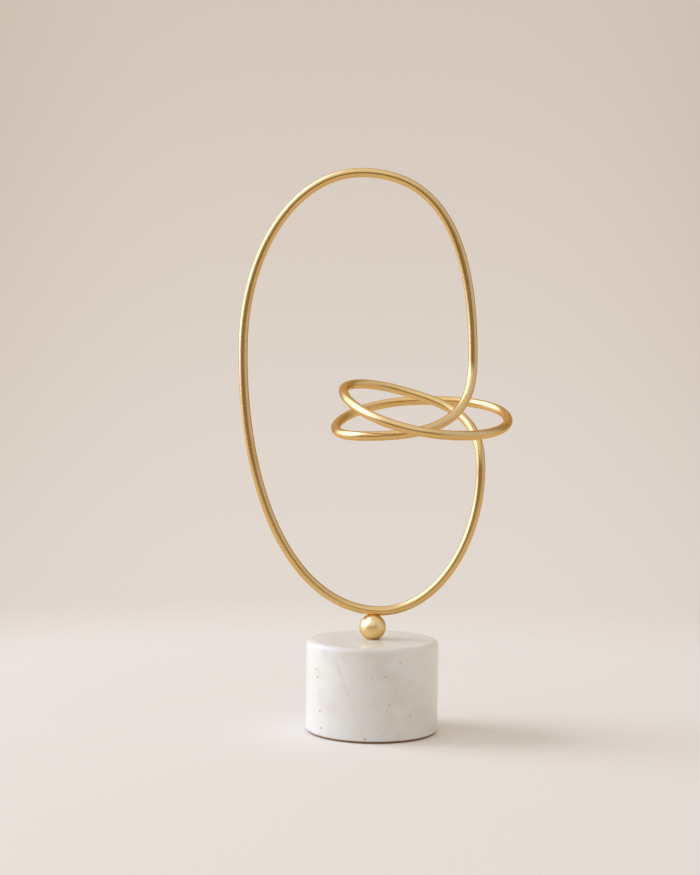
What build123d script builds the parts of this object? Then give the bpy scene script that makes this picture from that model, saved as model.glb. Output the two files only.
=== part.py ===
"""A brass rod bent into an oval with a level coil, carried by a ball on a round stone base."""

import math
import os
from dataclasses import dataclass

from build123d import *

# All lengths are in millimetres, +Z is up, the front looks along -Y.
# The origin is on the floor, on the axis of the stud.

# Bent rod
rod_diameter = 7.2

# Turning points of the oval: right of the stud axis, and above the lowest point of the rod
low_right = 5.5
flank_right = -103.0
flank_rise = 203.5
crown_right = -12.0
crown_rise = 339.5
side_right = 75.2
side_rise = 195.5
hip_right = 82.4
hip_rise = 110.2

# Middle of the coil, and its turning points from there: right, back and up
coil_right = 36.5
coil_rise = 152.0
first_front = (-31.5, -47.5, -14.0)
first_left = (-67.0, -3.5, -9.5)
first_back = (3.5, 59.0, 11.5)
first_right = (66.8, 6.0, -1.3)
second_front = (-6.5, -65.0, -9.5)
second_left = (-61.3, -7.5, 19.2)
second_back = (-13.5, 35.0, 19.0)

# Dowels in the two butt joints of the rod
dowel_diameter = 3.0
dowel_length = 14.0
dowel_clearance = 0.03
dowel_end_room = 0.3

# Ball under the rod
ball_diameter = 20.6
ball_seat_diameter = 9.0
saddle_depth = 1.3
braze_gap = 0.05

# Stone base and its felt
base_diameter = 103.0
base_height = 70.3
base_top_edge = 4.0
base_foot_edge = 2.0
felt_thickness = 1.5
felt_edge_radius = 0.4

# Clamp: stud, washers and nut in a recess under the base
stud_diameter = 6.0
stud_grip = 11.0
stud_tail = 2.5
stud_chamfer = 0.6
thread_clearance = 0.05
bore_clearance = 0.1
flat_washer_diameter = 18.0
flat_washer_thickness = 1.6
washer_clearance = 0.2
lock_washer_diameter = 11.8
lock_washer_thickness = 1.6
lock_washer_split = 1.2
lock_washer_split_slant = 25.0
nut_across_flats = 10.0
nut_height = 5.0
nut_corner_angle = 30.0
wrench_room = 4.0
tail_room = 3.0

# Levels worked out from the sizes above
base_foot = felt_thickness
base_top = base_foot + base_height
recess_depth = flat_washer_thickness + lock_washer_thickness + nut_height + stud_tail + tail_room
recess_roof = base_foot + recess_depth
recess_diameter = flat_washer_diameter + 2 * wrench_room
rod_radius = rod_diameter / 2
ball_radius = ball_diameter / 2
ball_centre = base_top + math.sqrt(ball_radius**2 - (ball_seat_diameter / 2) ** 2)
rod_low = ball_centre + ball_radius + rod_radius - saddle_depth
stud_top = base_top + stud_grip
lock_washer_top = recess_roof - flat_washer_thickness
nut_top = lock_washer_top - lock_washer_thickness
stud_foot = nut_top - nut_height - stud_tail
thread_bore = stud_diameter + 2 * thread_clearance
washer_bore = stud_diameter + 2 * washer_clearance


@dataclass(frozen=True)
class Turn:
    """A turning point of the rod's centreline.

    azimuth and climb are the way the rod runs there, in degrees. handle says how far the
    curve to the next turning point reaches into its corner: 0.55 gives a quarter of an ellipse.
    """

    place: Vector
    azimuth: float
    climb: float
    handle: float

    def heading(self):
        level = math.cos(math.radians(self.climb))
        across = math.radians(self.azimuth)
        return Vector(level * math.cos(across), level * math.sin(across), math.sin(math.radians(self.climb)))


def oval_place(right, rise):
    """A place in the oval's plane."""
    return Vector(right, 0, rod_low + rise)


def coil_place(offset):
    """A place on the coil, from the coil's middle."""
    return oval_place(coil_right, coil_rise) + Vector(*offset)


low = Turn(oval_place(low_right, 0), azimuth=180, climb=0, handle=0.595)
flank = Turn(oval_place(flank_right, flank_rise), azimuth=180, climb=90, handle=0.56)
crown = Turn(oval_place(crown_right, crown_rise), azimuth=0, climb=0, handle=0.67)
side = Turn(oval_place(side_right, side_rise), azimuth=0, climb=-90, handle=0.72)
front_1 = Turn(coil_place(first_front), azimuth=180, climb=-3, handle=0.68)
left_1 = Turn(coil_place(first_left), azimuth=90, climb=9, handle=0.63)
back_1 = Turn(coil_place(first_back), azimuth=0, climb=1, handle=0.635)
right_1 = Turn(coil_place(first_right), azimuth=270, climb=-15, handle=0.53)
front_2 = Turn(coil_place(second_front), azimuth=180, climb=11, handle=0.61)
left_2 = Turn(coil_place(second_left), azimuth=90, climb=13, handle=0.63)
back_2 = Turn(coil_place(second_back), azimuth=0, climb=-15, handle=0.81)
hip = Turn(oval_place(hip_right, hip_rise), azimuth=0, climb=-90, handle=0.54)


def control_points(start, end):
    """Control points of the cubic curve that leads from one turning point to the next."""
    leave = start.heading()
    arrive = end.heading()
    across = leave.cross(arrive)
    span = end.place - start.place
    along_leave = span.cross(arrive).dot(across) / across.dot(across)
    along_arrive = leave.cross(span).dot(across) / across.dot(across)
    return (
        start.place,
        start.place + leave * (start.handle * along_leave),
        end.place - arrive * (start.handle * along_arrive),
        end.place,
    )


def halves(points):
    """The two halves of a cubic curve, each as its end points and the directions there."""
    first, second, third, last = points
    early = (first + second) / 2
    centre = (second + third) / 2
    late = (third + last) / 2
    before = (early + centre) / 2
    after = (centre + late) / 2
    middle = (before + after) / 2
    through = (after - before).normalized()
    return [
        (first, (second - first).normalized(), middle, through),
        (middle, through, last, (last - third).normalized()),
    ]


def two_arcs(start, leave, end, arrive):
    """Two tangent arcs from one place and direction to another."""
    span = end - start
    both = leave + arrive
    bend = 2 * (1 - leave.dot(arrive))
    reach = span.dot(both)
    length = (math.sqrt(reach**2 + bend * span.dot(span)) - reach) / bend
    first_knee = start + leave * length
    second_knee = end - arrive * length
    meeting = (first_knee + second_knee) / 2
    return [
        Edge.make_tangent_arc(start, leave, meeting),
        Edge.make_tangent_arc(meeting, second_knee - first_knee, end),
    ]


def centreline(turns):
    """Tangent arcs along the rod's centreline, through the turning points in order."""
    arcs = []
    for start, end in zip(turns, turns[1:]):
        for half in halves(control_points(start, end)):
            arcs += two_arcs(*half)
    return arcs


def round_bar(arcs, radius):
    """A round bar along a chain of tangent arcs."""
    path = Wire(arcs)
    section = Plane(origin=path @ 0, z_dir=path % 0) * Circle(radius)
    return sweep(section, path=path)


def least_gap(arcs):
    """The least gap that a rod leaves to its own turns, half a turn or more further on."""
    places = [arc @ share for arc in arcs for share in (0, 0.25, 0.5, 0.75)]
    half_turn = 32
    distances = [(a - b).length for i, a in enumerate(places) for b in places[i + half_turn :]]
    return min(distances) - rod_diameter


def dowel_bar(turn, radius, length):
    """A straight bar along the rod at a turning point, centred there."""
    return Plane(origin=turn.place, z_dir=turn.heading()) * Cylinder(radius, length)


def upright(radius, foot, top):
    """A cylinder on the stud axis between two levels."""
    return Pos(0, 0, foot) * Cylinder(radius, top - foot, align=(Align.CENTER, Align.CENTER, Align.MIN))


def rods():
    """The two bent rods and the saddle that they press into the ball."""
    oval_arcs = centreline([low, flank, crown, side])
    coil_arcs = centreline([side, front_1, left_1, back_1, right_1, front_2, left_2, back_2, hip, low])
    print(f"least gap between the coil's turns: {least_gap(coil_arcs):.1f} mm")
    hole_radius = dowel_diameter / 2 + dowel_clearance
    hole_length = dowel_length + 2 * dowel_end_room
    holes = [dowel_bar(joint, hole_radius, hole_length) for joint in (low, side)]
    oval_rod = round_bar(oval_arcs, rod_radius) - holes
    coil_rod = round_bar(coil_arcs, rod_radius) - holes
    saddle = [round_bar(arcs, rod_radius + braze_gap) for arcs in (oval_arcs[:2], coil_arcs[-2:])]
    return oval_rod, coil_rod, saddle


def spacer_ball(saddle):
    """The ball, flat where it stands on the base, with a saddle on top and a tapped hole below."""
    below_seat = upright(ball_radius, base_top - ball_radius, base_top)
    tapped_hole = upright(thread_bore / 2, base_top - ball_radius, stud_top + stud_chamfer)
    return Pos(0, 0, ball_centre) * Sphere(ball_radius) - below_seat - tapped_hole - saddle


def marble_base():
    """The stone drum, with the stud's bore and the recess for the nut."""
    drum = upright(base_diameter / 2, base_foot, base_top)
    rims = drum.edges().filter_by(GeomType.CIRCLE).sort_by(Axis.Z)
    drum = fillet(rims[-1], base_top_edge)
    drum = fillet(drum.edges().filter_by(GeomType.CIRCLE).sort_by(Axis.Z)[0], base_foot_edge)
    bore = upright(stud_diameter / 2 + bore_clearance, base_foot, base_top)
    recess = upright(recess_diameter / 2, base_foot, recess_roof)
    return drum - bore - recess


def felt_pad():
    """The felt disc under the flat of the base."""
    disc = upright(base_diameter / 2 - base_foot_edge, 0, felt_thickness)
    return fillet(disc.edges().filter_by(GeomType.CIRCLE).sort_by(Axis.Z)[0], felt_edge_radius)


def clamp_stud():
    """The stud from the ball to below the nut."""
    stud = upright(stud_diameter / 2, stud_foot, stud_top)
    return chamfer(stud.edges().filter_by(GeomType.CIRCLE), stud_chamfer)


def flat_washer():
    """The wide washer against the recess's roof."""
    disc = upright(flat_washer_diameter / 2, lock_washer_top, recess_roof)
    return disc - upright(washer_bore / 2, lock_washer_top, recess_roof)


def lock_washer():
    """The split washer between the wide washer and the nut."""
    ring = upright(lock_washer_diameter / 2, nut_top, lock_washer_top)
    ring -= upright(washer_bore / 2, nut_top, lock_washer_top)
    split_middle = Pos(lock_washer_diameter / 2, 0, (nut_top + lock_washer_top) / 2)
    split = Box(lock_washer_diameter, lock_washer_split, 3 * lock_washer_thickness)
    return ring - split_middle * Rot(lock_washer_split_slant, 0, 0) * split


def clamp_nut():
    """The hexagon nut, its corners turned down at both ends."""
    nut_foot = nut_top - nut_height
    flats = nut_across_flats / 2
    corners = flats / math.cos(math.radians(30))
    hexagon = Pos(0, 0, nut_foot) * extrude(RegularPolygon(flats, 6, major_radius=False), nut_height)
    turned = (corners - flats) * math.tan(math.radians(nut_corner_angle))
    blank = upright(corners, nut_foot, nut_top)
    blank = chamfer(blank.edges().filter_by(GeomType.CIRCLE), turned, corners - flats)
    return (hexagon & blank) - upright(thread_bore / 2, nut_foot, nut_top)


oval_rod, coil_rod, saddle = rods()
nodes = {
    "oval_rod": oval_rod,
    "coil_rod": coil_rod,
    "foot_dowel": dowel_bar(low, dowel_diameter / 2, dowel_length),
    "side_dowel": dowel_bar(side, dowel_diameter / 2, dowel_length),
    "spacer_ball": spacer_ball(saddle),
    "clamp_stud": clamp_stud(),
    "flat_washer": flat_washer(),
    "lock_washer": lock_washer(),
    "clamp_nut": clamp_nut(),
    "marble_base": marble_base(),
    "felt_pad": felt_pad(),
}
os.makedirs("parts", exist_ok=True)
for name, solid in nodes.items():
    export_step(solid, f"parts/{name}.step")
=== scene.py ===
"""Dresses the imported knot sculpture: satin brass rods and ball, a polished marble drum, a felt foot.

All lengths are in metres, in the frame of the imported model: +Z is up and the front looks along -Y.
"""

import logging
import math
from dataclasses import dataclass
from enum import Enum

import bpy
from mathutils import Matrix, Vector


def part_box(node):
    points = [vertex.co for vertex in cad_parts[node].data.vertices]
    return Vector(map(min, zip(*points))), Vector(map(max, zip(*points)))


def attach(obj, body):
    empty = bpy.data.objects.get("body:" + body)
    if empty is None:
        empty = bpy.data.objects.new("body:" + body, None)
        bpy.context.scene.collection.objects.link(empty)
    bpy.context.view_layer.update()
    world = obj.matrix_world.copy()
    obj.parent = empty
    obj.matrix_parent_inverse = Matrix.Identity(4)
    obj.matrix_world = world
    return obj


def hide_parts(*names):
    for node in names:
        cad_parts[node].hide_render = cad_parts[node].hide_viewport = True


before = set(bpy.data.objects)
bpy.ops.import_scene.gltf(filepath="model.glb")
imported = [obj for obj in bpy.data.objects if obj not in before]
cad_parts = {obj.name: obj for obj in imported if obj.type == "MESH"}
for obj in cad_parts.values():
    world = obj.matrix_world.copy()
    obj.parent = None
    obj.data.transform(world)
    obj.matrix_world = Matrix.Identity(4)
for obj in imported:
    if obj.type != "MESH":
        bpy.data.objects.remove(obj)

LOG = logging.getLogger("knot")
KNOT_BODY = "knot"
BASE_BODY = "base"

# Gaps between pieces that fit into each other.
STUD_GAP = 0.00005
STUD_END_GAP = 0.0006
BORE_GAP = 0.0001
RECESS_GAP = 0.004

# Mesh work: when points count as one, how near a level an edge lies, and how fine cutters and shading are.
MERGE_DISTANCE = 1e-7
LEVEL_TOLERANCE = 1e-6
CUTTER_SIDES = 96
SMOOTH_ANGLE = 30.0

NOISE_MIDDLE = 0.5

Colour = tuple[float, float, float]
Triple = tuple[float, float, float]
Span = tuple[float, float]


class Grain(Enum):
    """The way a brass surface was brushed."""

    ALONG_ROD = "along the rod"
    ROUND_AXIS = "round the upright axis"


class Shade:
    """A socket of a node tree, which takes Python's operators."""

    def __init__(self, shader: "Shader", socket: bpy.types.NodeSocket) -> None:
        """Wraps a socket of a shader's tree."""
        self.shader = shader
        self.socket = socket

    def maths(self, operation: str, first: "Shade | float", second: "Shade | float") -> "Shade":
        """Adds a Math node.

        Args:
            operation: the Math node's operation.
            first: its first value.
            second: its second value.

        Returns:
            The node's result.
        """
        return self.shader.node("ShaderNodeMath", {"operation": operation}, {0: first, 1: second})

    def __add__(self, other: "Shade | float") -> "Shade":
        """Adds."""
        return self.maths("ADD", self, other)

    def __sub__(self, other: "Shade | float") -> "Shade":
        """Subtracts."""
        return self.maths("SUBTRACT", self, other)

    def __rsub__(self, other: float) -> "Shade":
        """Subtracts this from a number."""
        return self.maths("SUBTRACT", other, self)

    def __mul__(self, other: "Shade | float") -> "Shade":
        """Multiplies."""
        return self.maths("MULTIPLY", self, other)

    __radd__ = __add__
    __rmul__ = __mul__

    def greater_of(self, other: "Shade | float") -> "Shade":
        """Gives the greater of two values."""
        return self.maths("MAXIMUM", self, other)

    def size(self) -> "Shade":
        """Drops the sign."""
        return self.maths("ABSOLUTE", self, 0.0)

    def fade(self, low: float, high: float) -> "Shade":
        """Maps a value smoothly to 0 at low and 1 at high.

        Args:
            low: the value that gives 0.
            high: the value that gives 1.

        Returns:
            The mapped value.
        """
        settings = {"interpolation_type": "SMOOTHSTEP"}
        inputs = {"Value": self, "From Min": low, "From Max": high}
        return self.shader.node("ShaderNodeMapRange", settings, inputs)


class Shader:
    """The node tree of a material or of the surround, under construction."""

    def __init__(self, owner: bpy.types.Material | bpy.types.World) -> None:
        """Starts on the owner's plain tree."""
        self.owner = owner
        owner.use_nodes = True
        self.tree = owner.node_tree

    @classmethod
    def named(cls, name: str) -> "Shader":
        """Starts a new material."""
        return cls(bpy.data.materials.new(name))

    def node(self, kind: str, settings: dict, inputs: dict, output: int | str = 0) -> Shade:
        """Adds a node.

        Args:
            kind: the node's type.
            settings: the node's own properties, set before its sockets.
            inputs: a value or a Shade for each named or numbered input socket.
            output: the output socket that is wanted.

        Returns:
            That output.
        """
        made = self.tree.nodes.new(kind)
        for key, value in settings.items():
            setattr(made, key, value)
        for key, value in inputs.items():
            self.feed(made.inputs[key], value)
        return Shade(self, made.outputs[output])

    def feed(self, socket: bpy.types.NodeSocket, value: "Shade | float | tuple") -> None:
        """Links a Shade to a socket, or sets a plain value on it."""
        if isinstance(value, Shade):
            self.tree.links.new(value.socket, socket)
        elif socket.type == "RGBA" and len(value) == 3:
            socket.default_value = (*value, 1.0)
        else:
            socket.default_value = value

    def finish(self, **inputs: "Shade | float | tuple") -> bpy.types.Material:
        """Sets the surface's sockets.

        Args:
            inputs: a value or a Shade for each socket, its name in lower case with underscores.

        Returns:
            The finished material.
        """
        surface = self.tree.nodes["Principled BSDF"]
        names = {socket.name.lower().replace(" ", "_"): socket for socket in surface.inputs}
        for key, value in inputs.items():
            self.feed(names[key], value)
        return self.owner

    def place(self) -> Shade:
        """Gives the place on the piece, in metres."""
        return self.node("ShaderNodeTexCoord", {}, {}, "Object")

    def vector(self, operation: str, *values: "Shade | Triple", output: str = "Vector") -> Shade:
        """Adds a Vector Math node.

        Args:
            operation: the node's operation.
            values: its vectors in order.
            output: the output that is wanted, Vector or Value.

        Returns:
            That output.
        """
        return self.node("ShaderNodeVectorMath", {"operation": operation}, dict(enumerate(values)), output)

    def axis(self, vector: Shade, name: str) -> Shade:
        """Gives one coordinate of a vector: X, Y or Z."""
        return self.node("ShaderNodeSeparateXYZ", {}, {0: vector}, name)

    def noise(self, vector: Shade, scale: float, detail: float = 3.0, roughness: float = 0.5) -> Shade:
        """Adds fractal noise.

        Args:
            vector: where it is read.
            scale: how fine it is.
            detail: the number of octaves.
            roughness: how strong the finer octaves are.

        Returns:
            The noise, about 0 to 1.
        """
        inputs = {"Vector": vector, "Scale": scale, "Detail": detail, "Roughness": roughness}
        return self.node("ShaderNodeTexNoise", {}, inputs, "Fac")

    def mix(self, factor: "Shade | float", first: "Shade | Colour", second: "Shade | Colour") -> Shade:
        """Mixes two colours.

        Args:
            factor: 0 gives the first colour and 1 the second.
            first: the first colour.
            second: the second colour.

        Returns:
            The mixed colour.
        """
        return self.node("ShaderNodeMix", {"data_type": "RGBA"}, {0: factor, 6: first, 7: second}, 2)

    def camera_ray(self) -> Shade:
        """Gives 1 on what the camera sees straight."""
        return self.node("ShaderNodeLightPath", {}, {}, "Is Camera Ray")

    def glossy_ray(self) -> Shade:
        """Gives 1 on what a shiny surface shows."""
        return self.node("ShaderNodeLightPath", {}, {}, "Is Glossy Ray")

    def bump(self, height: Shade, distance: float) -> Shade:
        """Turns a height into a bumped normal.

        Args:
            height: the height, about 0 to 1.
            distance: the height in metres that 1 stands for.

        Returns:
            The normal.
        """
        inputs = {"Height": height, "Distance": distance, "Strength": 1.0}
        return self.node("ShaderNodeBump", {}, inputs, "Normal")


def srgb(red: int, green: int, blue: int) -> Colour:
    """Turns a display colour into the linear values that the shader takes."""

    def linear(level: int) -> float:
        """Undoes the display curve of one channel."""
        share = level / 255
        return share / 12.92 if share <= 0.04045 else ((share + 0.055) / 1.055) ** 2.4

    return linear(red), linear(green), linear(blue)


def towards(bearing: float, height_angle: float) -> Vector:
    """Gives a direction.

    Args:
        bearing: its angle in degrees from the back wall, clockwise as seen from above.
        height_angle: its angle in degrees above the level.

    Returns:
        The direction, of length 1.
    """
    level = math.cos(math.radians(height_angle))
    rise = math.sin(math.radians(height_angle))
    turn = math.radians(bearing)
    return Vector((level * math.sin(turn), level * math.cos(turn), rise))


@dataclass(frozen=True)
class BrassFinish:
    """Satin brass with a fine brushed grain."""

    grain: Grain
    tone: Colour = srgb(230, 191, 126)
    deep_tone: Colour = srgb(227, 187, 121)
    edge_tint: Colour = (0.92, 0.74, 0.48)
    roughness: float = 0.27
    line_spread: float = 0.025
    cloud_spread: float = 0.04
    cloud_scale: float = 45.0
    rod_lines: Triple = (120.0, 30.0, 1.0)
    ball_lines: Triple = (60.0, 60.0, 2600.0)

    def material(self, name: str) -> bpy.types.Material:
        """Builds the material.

        Args:
            name: the material's name.

        Returns:
            The material.
        """
        shader = Shader.named(name)
        if self.grain is Grain.ALONG_ROD:
            unrolled = shader.node("ShaderNodeUVMap", {}, {}, "UV")
            brushed = shader.vector("MULTIPLY", unrolled, self.rod_lines)
        else:
            brushed = shader.vector("MULTIPLY", shader.place(), self.ball_lines)
        lines = shader.noise(brushed, scale=1.0, detail=4.0, roughness=0.6) - NOISE_MIDDLE
        clouds = shader.noise(shader.place(), self.cloud_scale, detail=2.0)
        patches = clouds - NOISE_MIDDLE
        return shader.finish(
            base_color=shader.mix(clouds.fade(low=0.35, high=0.65), self.deep_tone, self.tone),
            metallic=1.0,
            roughness=lines * self.line_spread + patches * self.cloud_spread + self.roughness,
            specular_tint=self.edge_tint,
        )


@dataclass(frozen=True)
class Speck:
    """A rust-coloured mineral speck in the stone, its bearing in degrees from the front to the right."""

    bearing: float
    height: float
    radius: float
    strength: float
    inset: float = 0.0

    def place(self, drum_radius: float) -> Triple:
        """Gives the speck's place, inset from the drum's side.

        Args:
            drum_radius: the drum's radius.

        Returns:
            The place in metres.
        """
        reach = drum_radius - self.inset
        turn = math.radians(self.bearing)
        return reach * math.sin(turn), -reach * math.cos(turn), self.height


@dataclass(frozen=True)
class MarbleFinish:
    """White polished marble with soft clouds, a hairline vein and small rust specks."""

    white: Colour = srgb(240, 240, 239)
    cloud: Colour = srgb(230, 227, 223)
    vein: Colour = srgb(219, 204, 182)
    rust: Colour = srgb(216, 166, 62)
    cloud_scale: float = 26.0
    vein_across: Triple = (0.934, 0.0, 0.357)
    vein_offset: float = -0.0041
    vein_width: float = 0.0009
    vein_top: float = 0.066
    vein_full: float = 0.0528
    vein_strength: float = 0.45
    wave_scale: float = 55.0
    wave_height: float = 0.003
    break_scale: float = 40.0
    fray: float = 0.0018
    fray_scale: float = 900.0
    back_scale: float = 48.0
    back_strength: float = 0.6
    speck_core: float = 0.15
    specks: tuple[Speck, ...] = (
        Speck(-56.5, 0.0525, 0.0015, 0.95),
        Speck(-54.9, 0.0465, 0.0015, 1.00),
        Speck(-52.7, 0.0503, 0.0060, 0.13),
        Speck(-50.8, 0.0211, 0.0017, 0.75),
        Speck(-49.2, 0.0086, 0.0014, 0.70),
        Speck(-50.5, 0.0043, 0.0011, 0.60),
        Speck(-6.1, 0.0037, 0.0012, 1.00),
        Speck(3.5, 0.0108, 0.0010, 0.50),
        Speck(0.0, 0.0492, 0.0011, 0.55),
        Speck(10.2, 0.0507, 0.0015, 0.38),
        Speck(23.4, 0.0608, 0.0015, 0.45),
        Speck(14.0, 0.0294, 0.0018, 0.38),
        Speck(33.5, 0.0199, 0.0019, 0.34),
        Speck(-116.0, 0.0718, 0.0022, 0.25, 0.0205),
        Speck(-67.9, 0.0718, 0.0026, 0.22, 0.0183),
        Speck(118.9, 0.0718, 0.0022, 0.25, 0.0139),
    )

    def frayed(self, shader: Shader, place: Shade) -> Shade:
        """Gives the place, shaken a little so that round spots get a ragged edge."""
        inputs = {"Vector": place, "Scale": self.fray_scale, "Detail": 3.0}
        shake = shader.node("ShaderNodeTexNoise", {}, inputs, "Color")
        shift = shader.vector("SUBTRACT", shake, (NOISE_MIDDLE, NOISE_MIDDLE, NOISE_MIDDLE))
        return shader.vector("MULTIPLY_ADD", shift, (self.fray, self.fray, self.fray), place)

    def back_specks(self, shader: Shader, place: Shade) -> Shade:
        """Scatters a few specks over the half of the drum that faces away."""
        cells = {"Vector": place, "Scale": self.back_scale}
        away = shader.node("ShaderNodeTexVoronoi", {}, cells, "Distance")
        chance = shader.node("ShaderNodeTexVoronoi", {}, cells, "Color")
        chosen = shader.axis(chance, "X").fade(low=0.45, high=0.55)
        behind = shader.axis(place, "Y").fade(low=0.006, high=0.012)
        return away.fade(low=0.06, high=0.01) * chosen * behind * self.back_strength

    def speck_mask(self, shader: Shader, place: Shade, drum_radius: float) -> Shade:
        """Gives the strength of the rust at a place.

        Args:
            shader: the stone's shader.
            place: the place on the stone.
            drum_radius: the drum's radius.

        Returns:
            The strength, from 0 to 1.
        """
        frayed = self.frayed(shader, place)
        mask = self.back_specks(shader, frayed)
        for speck in self.specks:
            away = shader.vector("DISTANCE", frayed, speck.place(drum_radius), output="Value")
            spot = away.fade(low=speck.radius, high=self.speck_core * speck.radius)
            mask = mask.greater_of(spot * speck.strength)
        return mask

    def vein_mask(self, shader: Shader, place: Shade) -> Shade:
        """Gives the strength of the vein, a wavy sheet through the stone that shows as a hairline."""
        across = shader.vector("DOT_PRODUCT", place, self.vein_across, output="Value")
        wave = (shader.noise(place, self.wave_scale) - NOISE_MIDDLE) * self.wave_height
        off = (across - self.vein_offset + wave).size()
        line = off.fade(low=self.vein_width, high=0.0)
        breaks = shader.noise(place, self.break_scale, detail=2.0).fade(low=0.30, high=0.62)
        below = shader.axis(place, "Z").fade(low=self.vein_top, high=self.vein_full)
        return line * breaks * below * self.vein_strength

    def material(self, name: str, drum_radius: float) -> bpy.types.Material:
        """Builds the material.

        Args:
            name: the material's name.
            drum_radius: the drum's radius.

        Returns:
            The material.
        """
        shader = Shader.named(name)
        place = shader.place()
        clouds = shader.noise(place, self.cloud_scale, detail=6.0, roughness=0.55)
        colour = shader.mix(clouds.fade(low=0.45, high=0.72), self.white, self.cloud)
        colour = shader.mix(self.vein_mask(shader, place), colour, self.vein)
        colour = shader.mix(self.speck_mask(shader, place, drum_radius), colour, self.rust)
        return shader.finish(
            base_color=colour,
            roughness=0.24,
            coat_weight=0.22,
            coat_roughness=0.06,
            specular_ior_level=0.22,
            subsurface_weight=0.5,
            subsurface_radius=(0.008, 0.007, 0.006),
            subsurface_scale=1.0,
        )


@dataclass(frozen=True)
class FeltFinish:
    """Brown pressed felt."""

    dark: Colour = srgb(122, 88, 58)
    light: Colour = srgb(168, 126, 90)
    fibre_scale: float = 1400.0
    fibre_height: float = 0.0004

    def material(self, name: str) -> bpy.types.Material:
        """Builds the material.

        Args:
            name: the material's name.

        Returns:
            The material.
        """
        shader = Shader.named(name)
        fibres = shader.noise(shader.place(), self.fibre_scale, detail=5.0, roughness=0.7)
        return shader.finish(
            base_color=shader.mix(fibres.fade(low=0.3, high=0.7), self.dark, self.light),
            roughness=0.95,
            sheen_weight=0.3,
            normal=shader.bump(fibres, self.fibre_height),
        )


@dataclass(frozen=True)
class SteelFinish:
    """Zinc plated steel of the clamp and the dowels."""

    bright: Colour = srgb(196, 197, 200)
    dull: Colour = srgb(170, 172, 176)
    spangle_scale: float = 600.0
    roughness_low: float = 0.25
    roughness_spread: float = 0.2

    def material(self, name: str) -> bpy.types.Material:
        """Builds the material.

        Args:
            name: the material's name.

        Returns:
            The material.
        """
        shader = Shader.named(name)
        spangle = shader.noise(shader.place(), self.spangle_scale, roughness=0.6)
        return shader.finish(
            base_color=shader.mix(spangle.fade(low=0.35, high=0.65), self.dull, self.bright),
            metallic=1.0,
            roughness=spangle * self.roughness_spread + self.roughness_low,
        )


@dataclass(frozen=True)
class Turn:
    """A turning point of the rod's centreline.

    The azimuth and the climb give the way that the rod runs here, in degrees. The handle is how far the
    handles of the next stretch reach, as a share of the way to where the tangents at its ends meet.
    """

    place: Vector
    azimuth: float
    climb: float
    handle: float

    def heading(self) -> Vector:
        """Gives the direction of the rod here."""
        level = math.cos(math.radians(self.climb))
        rise = math.sin(math.radians(self.climb))
        turn = math.radians(self.azimuth)
        return Vector((level * math.cos(turn), level * math.sin(turn), rise))


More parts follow.
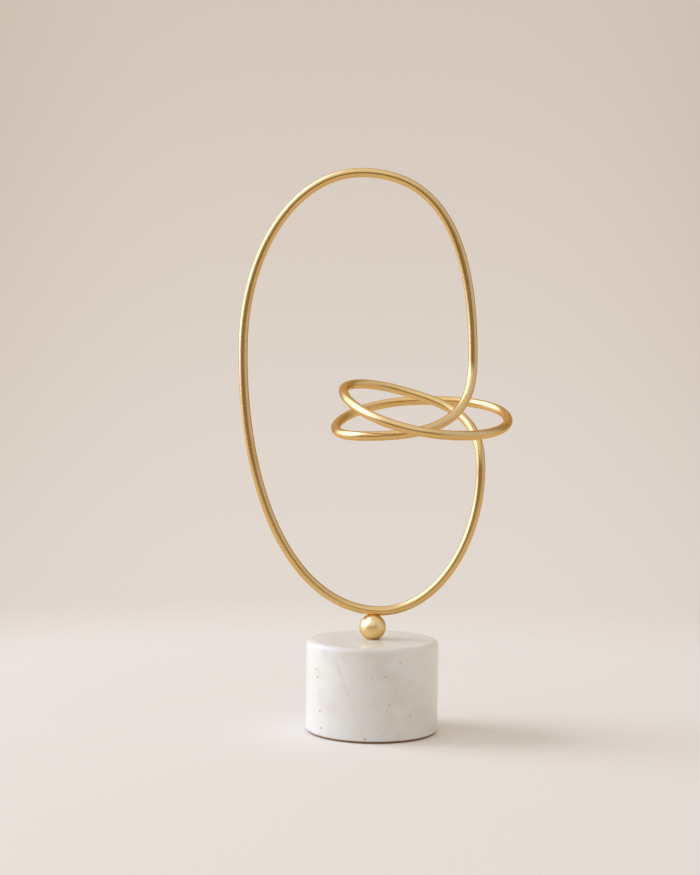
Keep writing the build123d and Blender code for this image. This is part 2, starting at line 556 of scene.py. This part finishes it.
@dataclass
class Knot:
    """The two bent brass rods, which meet over the ball and on the right side above the coil."""

    rod_radius: float
    rod_low: float
    dowel_radius: float = 0.00153
    dowel_reach: float = 0.0073
    coil_right: float = 0.0365
    coil_rise: float = 0.152
    steps_along: int = 96
    steps_round: int = 18
    smooth_angle: float = 40.0
    finish: BrassFinish = BrassFinish(Grain.ALONG_ROD)

    def oval_place(self, right: float, rise: float) -> Vector:
        """Gives a place in the oval's plane, above the rod's lowest point."""
        return Vector((right, 0.0, self.rod_low + rise))

    def coil_place(self, right: float, back: float, up: float) -> Vector:
        """Gives a place on the coil, from the coil's middle."""
        return self.oval_place(self.coil_right, self.coil_rise) + Vector((right, back, up))

    def low(self) -> Turn:
        """Gives the rod's lowest point, where the rods meet over the ball."""
        return Turn(self.oval_place(0.0055, 0.0), azimuth=180, climb=0, handle=0.595)

    def side(self) -> Turn:
        """Gives the point on the right side where the rods meet."""
        return Turn(self.oval_place(0.0752, 0.1955), azimuth=0, climb=-90, handle=0.72)

    def oval_turns(self) -> list[Turn]:
        """Gives the turning points of the oval rod."""
        return [
            self.low(),
            Turn(self.oval_place(-0.103, 0.2035), azimuth=180, climb=90, handle=0.56),
            Turn(self.oval_place(-0.012, 0.3395), azimuth=0, climb=0, handle=0.67),
            self.side(),
        ]

    def coil_turns(self) -> list[Turn]:
        """Gives the turning points of the coil rod."""
        return [
            self.side(),
            Turn(self.coil_place(-0.0315, -0.0475, -0.014), azimuth=180, climb=-3, handle=0.68),
            Turn(self.coil_place(-0.067, -0.0035, -0.0095), azimuth=90, climb=9, handle=0.63),
            Turn(self.coil_place(0.0035, 0.059, 0.0115), azimuth=0, climb=1, handle=0.635),
            Turn(self.coil_place(0.0668, 0.006, -0.0013), azimuth=270, climb=-15, handle=0.53),
            Turn(self.coil_place(-0.0065, -0.065, -0.0095), azimuth=180, climb=11, handle=0.61),
            Turn(self.coil_place(-0.0613, -0.0075, 0.0192), azimuth=90, climb=13, handle=0.63),
            Turn(self.coil_place(-0.0135, 0.035, 0.019), azimuth=0, climb=-15, handle=0.81),
            Turn(self.oval_place(0.0824, 0.1102), azimuth=0, climb=-90, handle=0.54),
            self.low(),
        ]

    @staticmethod
    def handles(start: Turn, end: Turn) -> tuple[Vector, Vector]:
        """Finds the handles of the curve between two turning points.

        Args:
            start: where the curve leaves.
            end: where it arrives.

        Returns:
            The handle after the start and the handle before the end.
        """
        leave = start.heading()
        arrive = end.heading()
        across = leave.cross(arrive)
        span = end.place - start.place
        along_leave = span.cross(arrive).dot(across) / across.dot(across)
        along_arrive = leave.cross(span).dot(across) / across.dot(across)
        after = start.place + leave * (start.handle * along_leave)
        before = end.place - arrive * (start.handle * along_arrive)
        return after, before

    def tube(self, name: str, turns: list[Turn]) -> bpy.types.Object:
        """Makes a round bar along the turning points.

        Args:
            name: the piece's name.
            turns: the turning points in order.

        Returns:
            The bar, as a mesh with a UV map.
        """
        bpy.ops.object.select_all(action="DESELECT")
        bpy.ops.curve.primitive_bezier_curve_add(location=(0.0, 0.0, 0.0))
        bar = bpy.context.object
        bar.name = name
        curve = bar.data
        spline = curve.splines[0]
        spline.bezier_points.add(len(turns) - 2)
        for point, turn in zip(spline.bezier_points, turns):
            point.handle_left_type = "FREE"
            point.handle_right_type = "FREE"
            point.co = turn.place
            point.handle_left = turn.place
            point.handle_right = turn.place
        for index, (start, end) in enumerate(zip(turns, turns[1:])):
            after, before = self.handles(start, end)
            spline.bezier_points[index].handle_right = after
            spline.bezier_points[index + 1].handle_left = before
        curve.dimensions = "3D"
        curve.twist_mode = "MINIMUM"
        curve.resolution_u = self.steps_along
        curve.bevel_depth = self.rod_radius
        curve.bevel_resolution = self.steps_round
        curve.use_fill_caps = True
        bpy.ops.object.convert(target="MESH")
        merge_points(bar)
        return bar

    def build_rod(self, name: str, turns: list[Turn]) -> bpy.types.Object:
        """Makes one rod, drilled at both ends for the dowels.

        Args:
            name: the piece's name.
            turns: the rod's turning points in order.

        Returns:
            The rod.
        """
        rod = self.tube(name, turns)
        for joint in (self.low(), self.side()):
            reach = joint.heading() * self.dowel_reach
            carve(rod, round_bar(joint.place - reach, joint.place + reach, self.dowel_radius))
        merge_points(rod)
        smooth(rod, self.smooth_angle)
        return rod

    def build(self) -> list[bpy.types.Object]:
        """Makes the two rods."""
        oval = self.build_rod("brass_oval", self.oval_turns())
        coil = self.build_rod("brass_coil", self.coil_turns())
        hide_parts("oval_rod")
        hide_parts("coil_rod")
        return [oval, coil]

    def dress(self, rods: list[bpy.types.Object]) -> None:
        """Puts the brass on the rods and hangs them on their body."""
        brass = self.finish.material("satin_brass_rod")
        for rod in rods:
            set_material(rod, brass)
            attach(rod, KNOT_BODY)


@dataclass
class Ball:
    """The brass ball between the knot and the base."""

    radius: float
    seat: float
    hole_radius: float
    hole_top: float
    seat_radius: float = 0.0045
    seat_edge: float = 0.0002
    seat_edge_steps: int = 3
    segments: int = 128
    rings: int = 64
    # The ball's brass tone is lighter than the rods': painted light, standing in for the brighter light
    # that the ball mirrors from the marble's top.
    finish: BrassFinish = BrassFinish(
        Grain.ROUND_AXIS, tone=srgb(245, 212, 146), deep_tone=srgb(242, 208, 141), roughness=0.33
    )

    def centre(self) -> float:
        """Gives the height of the ball's centre."""
        return self.seat + math.sqrt(self.radius**2 - self.seat_radius**2)

    def build(self) -> bpy.types.Object:
        """Makes the ball, flat below, with the stud's hole in it. Its top ends inside the rod, unseen."""
        bpy.ops.object.select_all(action="DESELECT")
        bpy.ops.mesh.primitive_uv_sphere_add(
            segments=self.segments,
            ring_count=self.rings,
            radius=self.radius,
            location=(0.0, 0.0, self.centre()),
        )
        ball = bpy.context.object
        ball.name = "brass_ball"
        bpy.ops.object.transform_apply(location=True, rotation=True, scale=True)
        bpy.ops.object.mode_set(mode="EDIT")
        bpy.ops.mesh.select_all(action="SELECT")
        bpy.ops.mesh.bisect(
            plane_co=(0.0, 0.0, self.seat),
            plane_no=(0.0, 0.0, 1.0),
            use_fill=True,
            clear_inner=True,
            threshold=MERGE_DISTANCE,
        )
        bpy.ops.mesh.bevel(offset=self.seat_edge, segments=self.seat_edge_steps)
        bpy.ops.object.mode_set(mode="OBJECT")
        below = Vector((0.0, 0.0, self.seat - self.radius))
        carve(ball, round_bar(below, Vector((0.0, 0.0, self.hole_top)), self.hole_radius))
        smooth(ball, SMOOTH_ANGLE)
        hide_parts("spacer_ball")
        return ball

    def dress(self, ball: bpy.types.Object) -> None:
        """Puts the brass on the ball and hangs it on its body."""
        set_material(ball, self.finish.material("satin_brass_ball"))
        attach(ball, KNOT_BODY)


@dataclass
class Drum:
    """The marble base and the felt under it."""

    radius: float
    foot: float
    top: float
    bore_radius: float
    recess_radius: float
    recess_roof: float
    top_edge: float = 0.004
    foot_edge: float = 0.002
    edge_steps: int = 8
    sides: int = 256
    felt_edge: float = 0.0004
    felt_edge_steps: int = 3
    felt_sides: int = 192

    def build(self) -> bpy.types.Object:
        """Makes the drum with its rounded rims, the stud's bore and the nut's recess."""
        bpy.ops.object.select_all(action="DESELECT")
        bpy.ops.mesh.primitive_cylinder_add(
            vertices=self.sides,
            radius=self.radius,
            depth=self.top - self.foot,
            location=(0.0, 0.0, (self.top + self.foot) / 2),
        )
        drum = bpy.context.object
        drum.name = "marble_drum"
        bpy.ops.object.transform_apply(location=True, rotation=True, scale=True)
        for level, edge in ((self.top, self.top_edge), (self.foot, self.foot_edge)):
            select_edges_at(drum, level)
            bpy.ops.mesh.bevel(offset=edge, segments=self.edge_steps)
            bpy.ops.object.mode_set(mode="OBJECT")
        below = Vector((0.0, 0.0, self.foot - self.radius))
        above = Vector((0.0, 0.0, self.top + self.radius))
        carve(drum, round_bar(below, above, self.bore_radius))
        carve(drum, round_bar(below, Vector((0.0, 0.0, self.recess_roof)), self.recess_radius))
        smooth(drum, SMOOTH_ANGLE)
        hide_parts("marble_base")
        return drum

    def build_felt(self) -> bpy.types.Object:
        """Makes the felt disc under the drum."""
        disc_radius = self.radius - self.foot_edge
        bpy.ops.object.select_all(action="DESELECT")
        bpy.ops.mesh.primitive_cylinder_add(
            vertices=self.felt_sides,
            radius=disc_radius,
            depth=self.foot,
            location=(0.0, 0.0, self.foot / 2),
        )
        felt = bpy.context.object
        felt.name = "felt_foot"
        bpy.ops.object.transform_apply(location=True, rotation=True, scale=True)
        select_edges_at(felt, 0.0)
        bpy.ops.mesh.bevel(offset=self.felt_edge, segments=self.felt_edge_steps)
        bpy.ops.object.mode_set(mode="OBJECT")
        smooth(felt, SMOOTH_ANGLE)
        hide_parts("felt_pad")
        return felt

    def dress(self, drum: bpy.types.Object, felt: bpy.types.Object) -> None:
        """Puts the marble and the felt on and hangs both on their body."""
        set_material(drum, MarbleFinish().material("white_marble", self.radius))
        set_material(felt, FeltFinish().material("brown_felt"))
        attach(drum, BASE_BODY)
        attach(felt, BASE_BODY)


@dataclass
class Clamp:
    """The stud, washers, nut and dowels, which stay as they are and only get their finish."""

    nodes: tuple[str, ...] = (
        "foot_dowel",
        "side_dowel",
        "clamp_stud",
        "flat_washer",
        "lock_washer",
        "clamp_nut",
    )

    def dress(self) -> None:
        """Puts the zinc on the hardware."""
        steel = SteelFinish().material("zinc_steel")
        for node in self.nodes:
            set_material(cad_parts[node], steel)


@dataclass(frozen=True)
class Lamp:
    """A flat soft light, placed by its bearing from the back wall, its height angle and its distance."""

    name: str
    bearing: float
    height_angle: float
    distance: float
    width: float
    height: float
    power: float
    tone: Colour

    def build(self, target: Vector) -> None:
        """Adds the light, turned to a target.

        Args:
            target: the place that it looks at.
        """
        light = bpy.data.lights.new(self.name, "AREA")
        light.shape = "RECTANGLE"
        light.size = self.width
        light.size_y = self.height
        light.energy = self.power
        light.color = self.tone
        way = towards(self.bearing, self.height_angle)
        lamp = bpy.data.objects.new(self.name, light)
        lamp.location = target + way * self.distance
        lamp.rotation_euler = (-way).to_track_quat("-Z", "Y").to_euler()
        # Shiny surfaces mirror the window as a patch of the surround instead.
        lamp.visible_glossy = False
        bpy.context.scene.collection.objects.link(lamp)


@dataclass(frozen=True)
class Glow:
    """A soft patch of the surround, centred on a direction and fading between two angles from it."""

    bearing: float
    height_angle: float
    full: float
    gone: float
    tone: Colour

    def share(self, shader: Shader, direction: Shade) -> Shade:
        """Gives the patch's share at a direction.

        Args:
            shader: the surround's shader.
            direction: the direction that is looked at.

        Returns:
            The share, from 0 outside to 1 at the middle.
        """
        middle = towards(self.bearing, self.height_angle)
        facing = shader.vector("DOT_PRODUCT", direction, middle, output="Value")
        return facing.fade(low=math.cos(math.radians(self.gone)), high=math.cos(math.radians(self.full)))

    def added_to(self, room: "Shade | Colour", shader: Shader, direction: Shade) -> Shade:
        """Adds the patch's light to the room's.

        Args:
            room: the light of the room so far.
            shader: the surround's shader.
            direction: the direction that is looked at.

        Returns:
            The light of the room with the patch.
        """
        return shader.vector("MULTIPLY_ADD", self.share(shader, direction), self.tone, room)


@dataclass
class Studio:
    """The pale floor, the surround, the window light and the camera."""

    # The floor is darker far out at the front, which the rods mirror.
    floor_size: float = 12.0
    floor_tone: Colour = srgb(245, 242, 239)
    floor_shade: Colour = srgb(118, 100, 80)
    shaded_way: Triple = (-0.42, -0.91, 0.0)
    shaded_span: Span = (0.70, 1.30)
    floor_roughness: float = 0.9
    floor_gloss: float = 0.1

    # The camera sees the floor up to this span from the knot, and the wall beyond it.
    floor_span: Span = (0.42, 0.85)
    # The wall's darker top and sides are painted shade.
    wall_low: Colour = srgb(226, 216, 207)
    wall_high: Colour = srgb(212, 197, 185)
    wall_edge: Colour = srgb(200, 184, 171)
    wall_rise: Span = (-0.14, 0.30)
    edge_across: Span = (0.0, 0.08)
    edge_rise: Span = (-0.30, 0.25)

    # The window and the room's pale parts light the marble and the floor.
    target_height: float = 0.2
    window: Lamp = Lamp("window", -78.0, 24.5, 4.5, 3.0, 2.4, 111.0, (0.95, 1.0, 1.08))
    room_tone: Colour = (0.13, 0.105, 0.08)
    fill: tuple[Glow, ...] = (
        Glow(-85.0, 8.0, 3.0, 21.0, (2.60, 2.62, 2.52)),
        Glow(-95.0, 42.0, 12.0, 34.0, (0.50, 0.52, 0.55)),
        Glow(-122.0, 18.0, 6.0, 24.0, (0.75, 0.72, 0.67)),
        Glow(0.0, 12.0, 10.0, 50.0, (0.58, 0.53, 0.45)),
        Glow(90.0, 14.0, 26.0, 72.0, (0.50, 0.44, 0.36)),
        Glow(180.0, 58.0, 10.0, 50.0, (0.50, 0.48, 0.45)),
        Glow(0.0, 90.0, 10.0, 50.0, (0.38, 0.36, 0.34)),
    )

    # Shiny surfaces mirror this room: the window, the ceiling, the sides and the back wall.
    mirrored_tone: Colour = (0.26, 0.19, 0.05)
    shine: tuple[Glow, ...] = (
        Glow(0.0, 90.0, 15.0, 55.0, (0.50, 0.62, 0.95)),
        Glow(-40.0, 65.0, 10.0, 36.0, (0.34, 0.38, 0.52)),
        Glow(-85.0, 30.0, 32.0, 50.0, (1.85, 2.40, 4.40)),
        Glow(-140.0, 32.0, 8.0, 31.0, (0.42, 0.48, 0.72)),
        Glow(180.0, 27.0, 8.0, 25.0, (0.40, 0.43, 0.60)),
        Glow(180.0, 46.0, 8.0, 40.0, (0.36, 0.46, 0.54)),
        Glow(105.0, 15.0, 22.0, 55.0, (0.42, 0.56, 0.94)),
    )
    back_wall: Glow = Glow(0.0, 10.0, 20.0, 60.0, (1.0, 1.0, 1.0))

    # The camera's place is measured from the stud's axis at floor level, and its angles are in degrees.
    camera_right: float = -0.01936
    camera_distance: float = 1.3192
    camera_height: float = 0.27311
    camera_pitch: float = 1.937
    camera_roll: float = 0.65
    focal_length: float = 69.98

    def build_floor(self) -> None:
        """Makes the floor, which the camera sees fade out further off, so that the wall shows there."""
        bpy.ops.object.select_all(action="DESELECT")
        bpy.ops.mesh.primitive_plane_add(size=self.floor_size)
        floor = bpy.context.object
        floor.name = "floor"
        shader = Shader.named("pale_floor")
        place = shader.place()
        ahead = shader.vector("DOT_PRODUCT", place, self.shaded_way, output="Value")
        tone = shader.mix(ahead.fade(*self.shaded_span), self.floor_tone, self.floor_shade)
        shader.finish(base_color=tone, roughness=self.floor_roughness, specular_ior_level=self.floor_gloss)
        away = shader.vector("LENGTH", place, output="Value")
        far = away.fade(*self.floor_span) * shader.camera_ray()
        clear = shader.node("ShaderNodeBsdfTransparent", {}, {}, "BSDF")
        ground = Shade(shader, shader.tree.nodes["Principled BSDF"].outputs["BSDF"])
        both = shader.node("ShaderNodeMixShader", {}, {0: far, 1: ground, 2: clear}, "Shader")
        shader.feed(shader.tree.nodes["Material Output"].inputs["Surface"], both)
        set_material(floor, shader.owner)

    def build_surround(self) -> None:
        """Makes the wall that the camera sees, the room that gives light and the room that is mirrored."""
        world = bpy.data.worlds.new("surround")
        bpy.context.scene.world = world
        shader = Shader(world)
        direction = shader.node("ShaderNodeTexCoord", {}, {}, "Generated")
        across = shader.axis(direction, "X")
        up = shader.axis(direction, "Z")
        wall = shader.mix(up.fade(*self.wall_rise), self.wall_low, self.wall_high)
        edge = (across * across).fade(*self.edge_across) * up.fade(*self.edge_rise)
        wall = shader.mix(edge, wall, self.wall_edge)
        room = self.room_tone
        for patch in self.fill:
            room = patch.added_to(room, shader, direction)
        mirrored = self.mirrored_tone
        for patch in self.shine:
            mirrored = patch.added_to(mirrored, shader, direction)
        mirrored = shader.mix(self.back_wall.share(shader, direction), mirrored, wall)
        room = shader.mix(shader.glossy_ray(), room, mirrored)
        tone = shader.mix(shader.camera_ray(), room, wall)
        shader.feed(world.node_tree.nodes["Background"].inputs["Color"], tone)

    def build_lights(self) -> None:
        """Makes the window light."""
        self.window.build(Vector((0.0, 0.0, self.target_height)))

    def build_camera(self) -> None:
        """Makes the camera at the photograph's viewing angle."""
        lens = bpy.data.cameras.new("camera")
        lens.lens = self.focal_length
        camera = bpy.data.objects.new("camera", lens)
        stand = Matrix.Translation((self.camera_right, -self.camera_distance, self.camera_height))
        tilt = Matrix.Rotation(math.radians(90.0 - self.camera_pitch), 4, "X")
        roll = Matrix.Rotation(math.radians(self.camera_roll), 4, "Z")
        camera.matrix_world = stand @ tilt @ roll
        bpy.context.scene.collection.objects.link(camera)
        bpy.context.scene.camera = camera


def set_material(piece: bpy.types.Object, material: bpy.types.Material) -> None:
    """Gives a piece one material."""
    piece.data.materials.clear()
    piece.data.materials.append(material)


def pick(piece: bpy.types.Object) -> None:
    """Makes a piece the active one and the only one that is selected."""
    bpy.ops.object.select_all(action="DESELECT")
    bpy.context.view_layer.objects.active = piece
    piece.select_set(True)


def smooth(piece: bpy.types.Object, angle: float) -> None:
    """Shades a piece smooth across edges under an angle in degrees."""
    pick(piece)
    bpy.ops.object.shade_smooth_by_angle(angle=math.radians(angle))


def round_bar(start: Vector, end: Vector, radius: float) -> bpy.types.Object:
    """Makes a straight round bar that a hole is cut with.

    Args:
        start: the middle of its first end.
        end: the middle of its other end.
        radius: its radius.

    Returns:
        The bar.
    """
    bpy.ops.object.select_all(action="DESELECT")
    bpy.ops.mesh.primitive_cylinder_add(
        vertices=CUTTER_SIDES,
        radius=radius,
        depth=(end - start).length,
        location=(start + end) / 2,
        rotation=(end - start).to_track_quat("Z", "Y").to_euler(),
    )
    bpy.ops.object.transform_apply(location=True, rotation=True, scale=True)
    return bpy.context.object


def carve(piece: bpy.types.Object, cutter: bpy.types.Object) -> None:
    """Cuts a shape out of a piece.

    Args:
        piece: the piece.
        cutter: the shape, which is used up.
    """
    cut = piece.modifiers.new("cut", "BOOLEAN")
    cut.operation = "DIFFERENCE"
    cut.object = cutter
    bpy.context.view_layer.objects.active = piece
    bpy.ops.object.modifier_apply(modifier=cut.name)
    bpy.data.objects.remove(cutter)


def merge_points(piece: bpy.types.Object) -> None:
    """Merges the points of a piece that lie on top of each other, and drops the empty faces left."""
    pick(piece)
    bpy.ops.object.mode_set(mode="EDIT")
    bpy.ops.mesh.select_all(action="SELECT")
    bpy.ops.mesh.remove_doubles(threshold=MERGE_DISTANCE)
    bpy.ops.mesh.dissolve_degenerate(threshold=MERGE_DISTANCE)
    bpy.ops.object.mode_set(mode="OBJECT")


def select_edges_at(piece: bpy.types.Object, level: float) -> None:
    """Selects the edges that lie at one level, and leaves the piece in edit mode.

    Args:
        piece: the active mesh piece.
        level: the height of the edges.
    """
    bpy.ops.object.mode_set(mode="EDIT")
    bpy.ops.mesh.select_mode(type="EDGE")
    bpy.ops.mesh.select_all(action="DESELECT")
    bpy.ops.object.mode_set(mode="OBJECT")
    points = piece.data.vertices
    for edge in piece.data.edges:
        edge.select = all(abs(points[index].co.z - level) < LEVEL_TOLERANCE for index in edge.vertices)
    bpy.ops.object.mode_set(mode="EDIT")


def main() -> None:
    """Builds and dresses the sculpture and the studio around it."""
    logging.basicConfig(level=logging.INFO, format="%(name)s: %(message)s")
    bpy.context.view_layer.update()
    oval_low, oval_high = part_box("oval_rod")
    ball_low, ball_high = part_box("spacer_ball")
    base_low, base_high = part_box("marble_base")
    stud_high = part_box("clamp_stud")[1]
    washer_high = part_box("flat_washer")[1]
    rod_radius = (oval_high[1] - oval_low[1]) / 2
    knot = Knot(rod_radius=rod_radius, rod_low=oval_low[2] + rod_radius)
    rods = knot.build()
    knot.dress(rods)
    ball = Ball(
        radius=(ball_high[0] - ball_low[0]) / 2,
        seat=base_high[2],
        hole_radius=stud_high[0] + STUD_GAP,
        hole_top=stud_high[2] + STUD_END_GAP,
    )
    sphere = ball.build()
    ball.dress(sphere)
    drum = Drum(
        radius=base_high[0],
        foot=base_low[2],
        top=base_high[2],
        bore_radius=stud_high[0] + BORE_GAP,
        recess_radius=washer_high[0] + RECESS_GAP,
        recess_roof=washer_high[2],
    )
    stone = drum.build()
    felt = drum.build_felt()
    drum.dress(stone, felt)
    Clamp().dress()
    studio = Studio()
    studio.build_floor()
    studio.build_surround()
    studio.build_lights()
    studio.build_camera()
    bpy.context.scene.view_settings.view_transform = "Standard"
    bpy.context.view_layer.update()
    for made in (*rods, sphere, stone, felt):
        LOG.info("%s: %d faces", made.name, len(made.data.polygons))


if __name__ == "__main__":
    main()
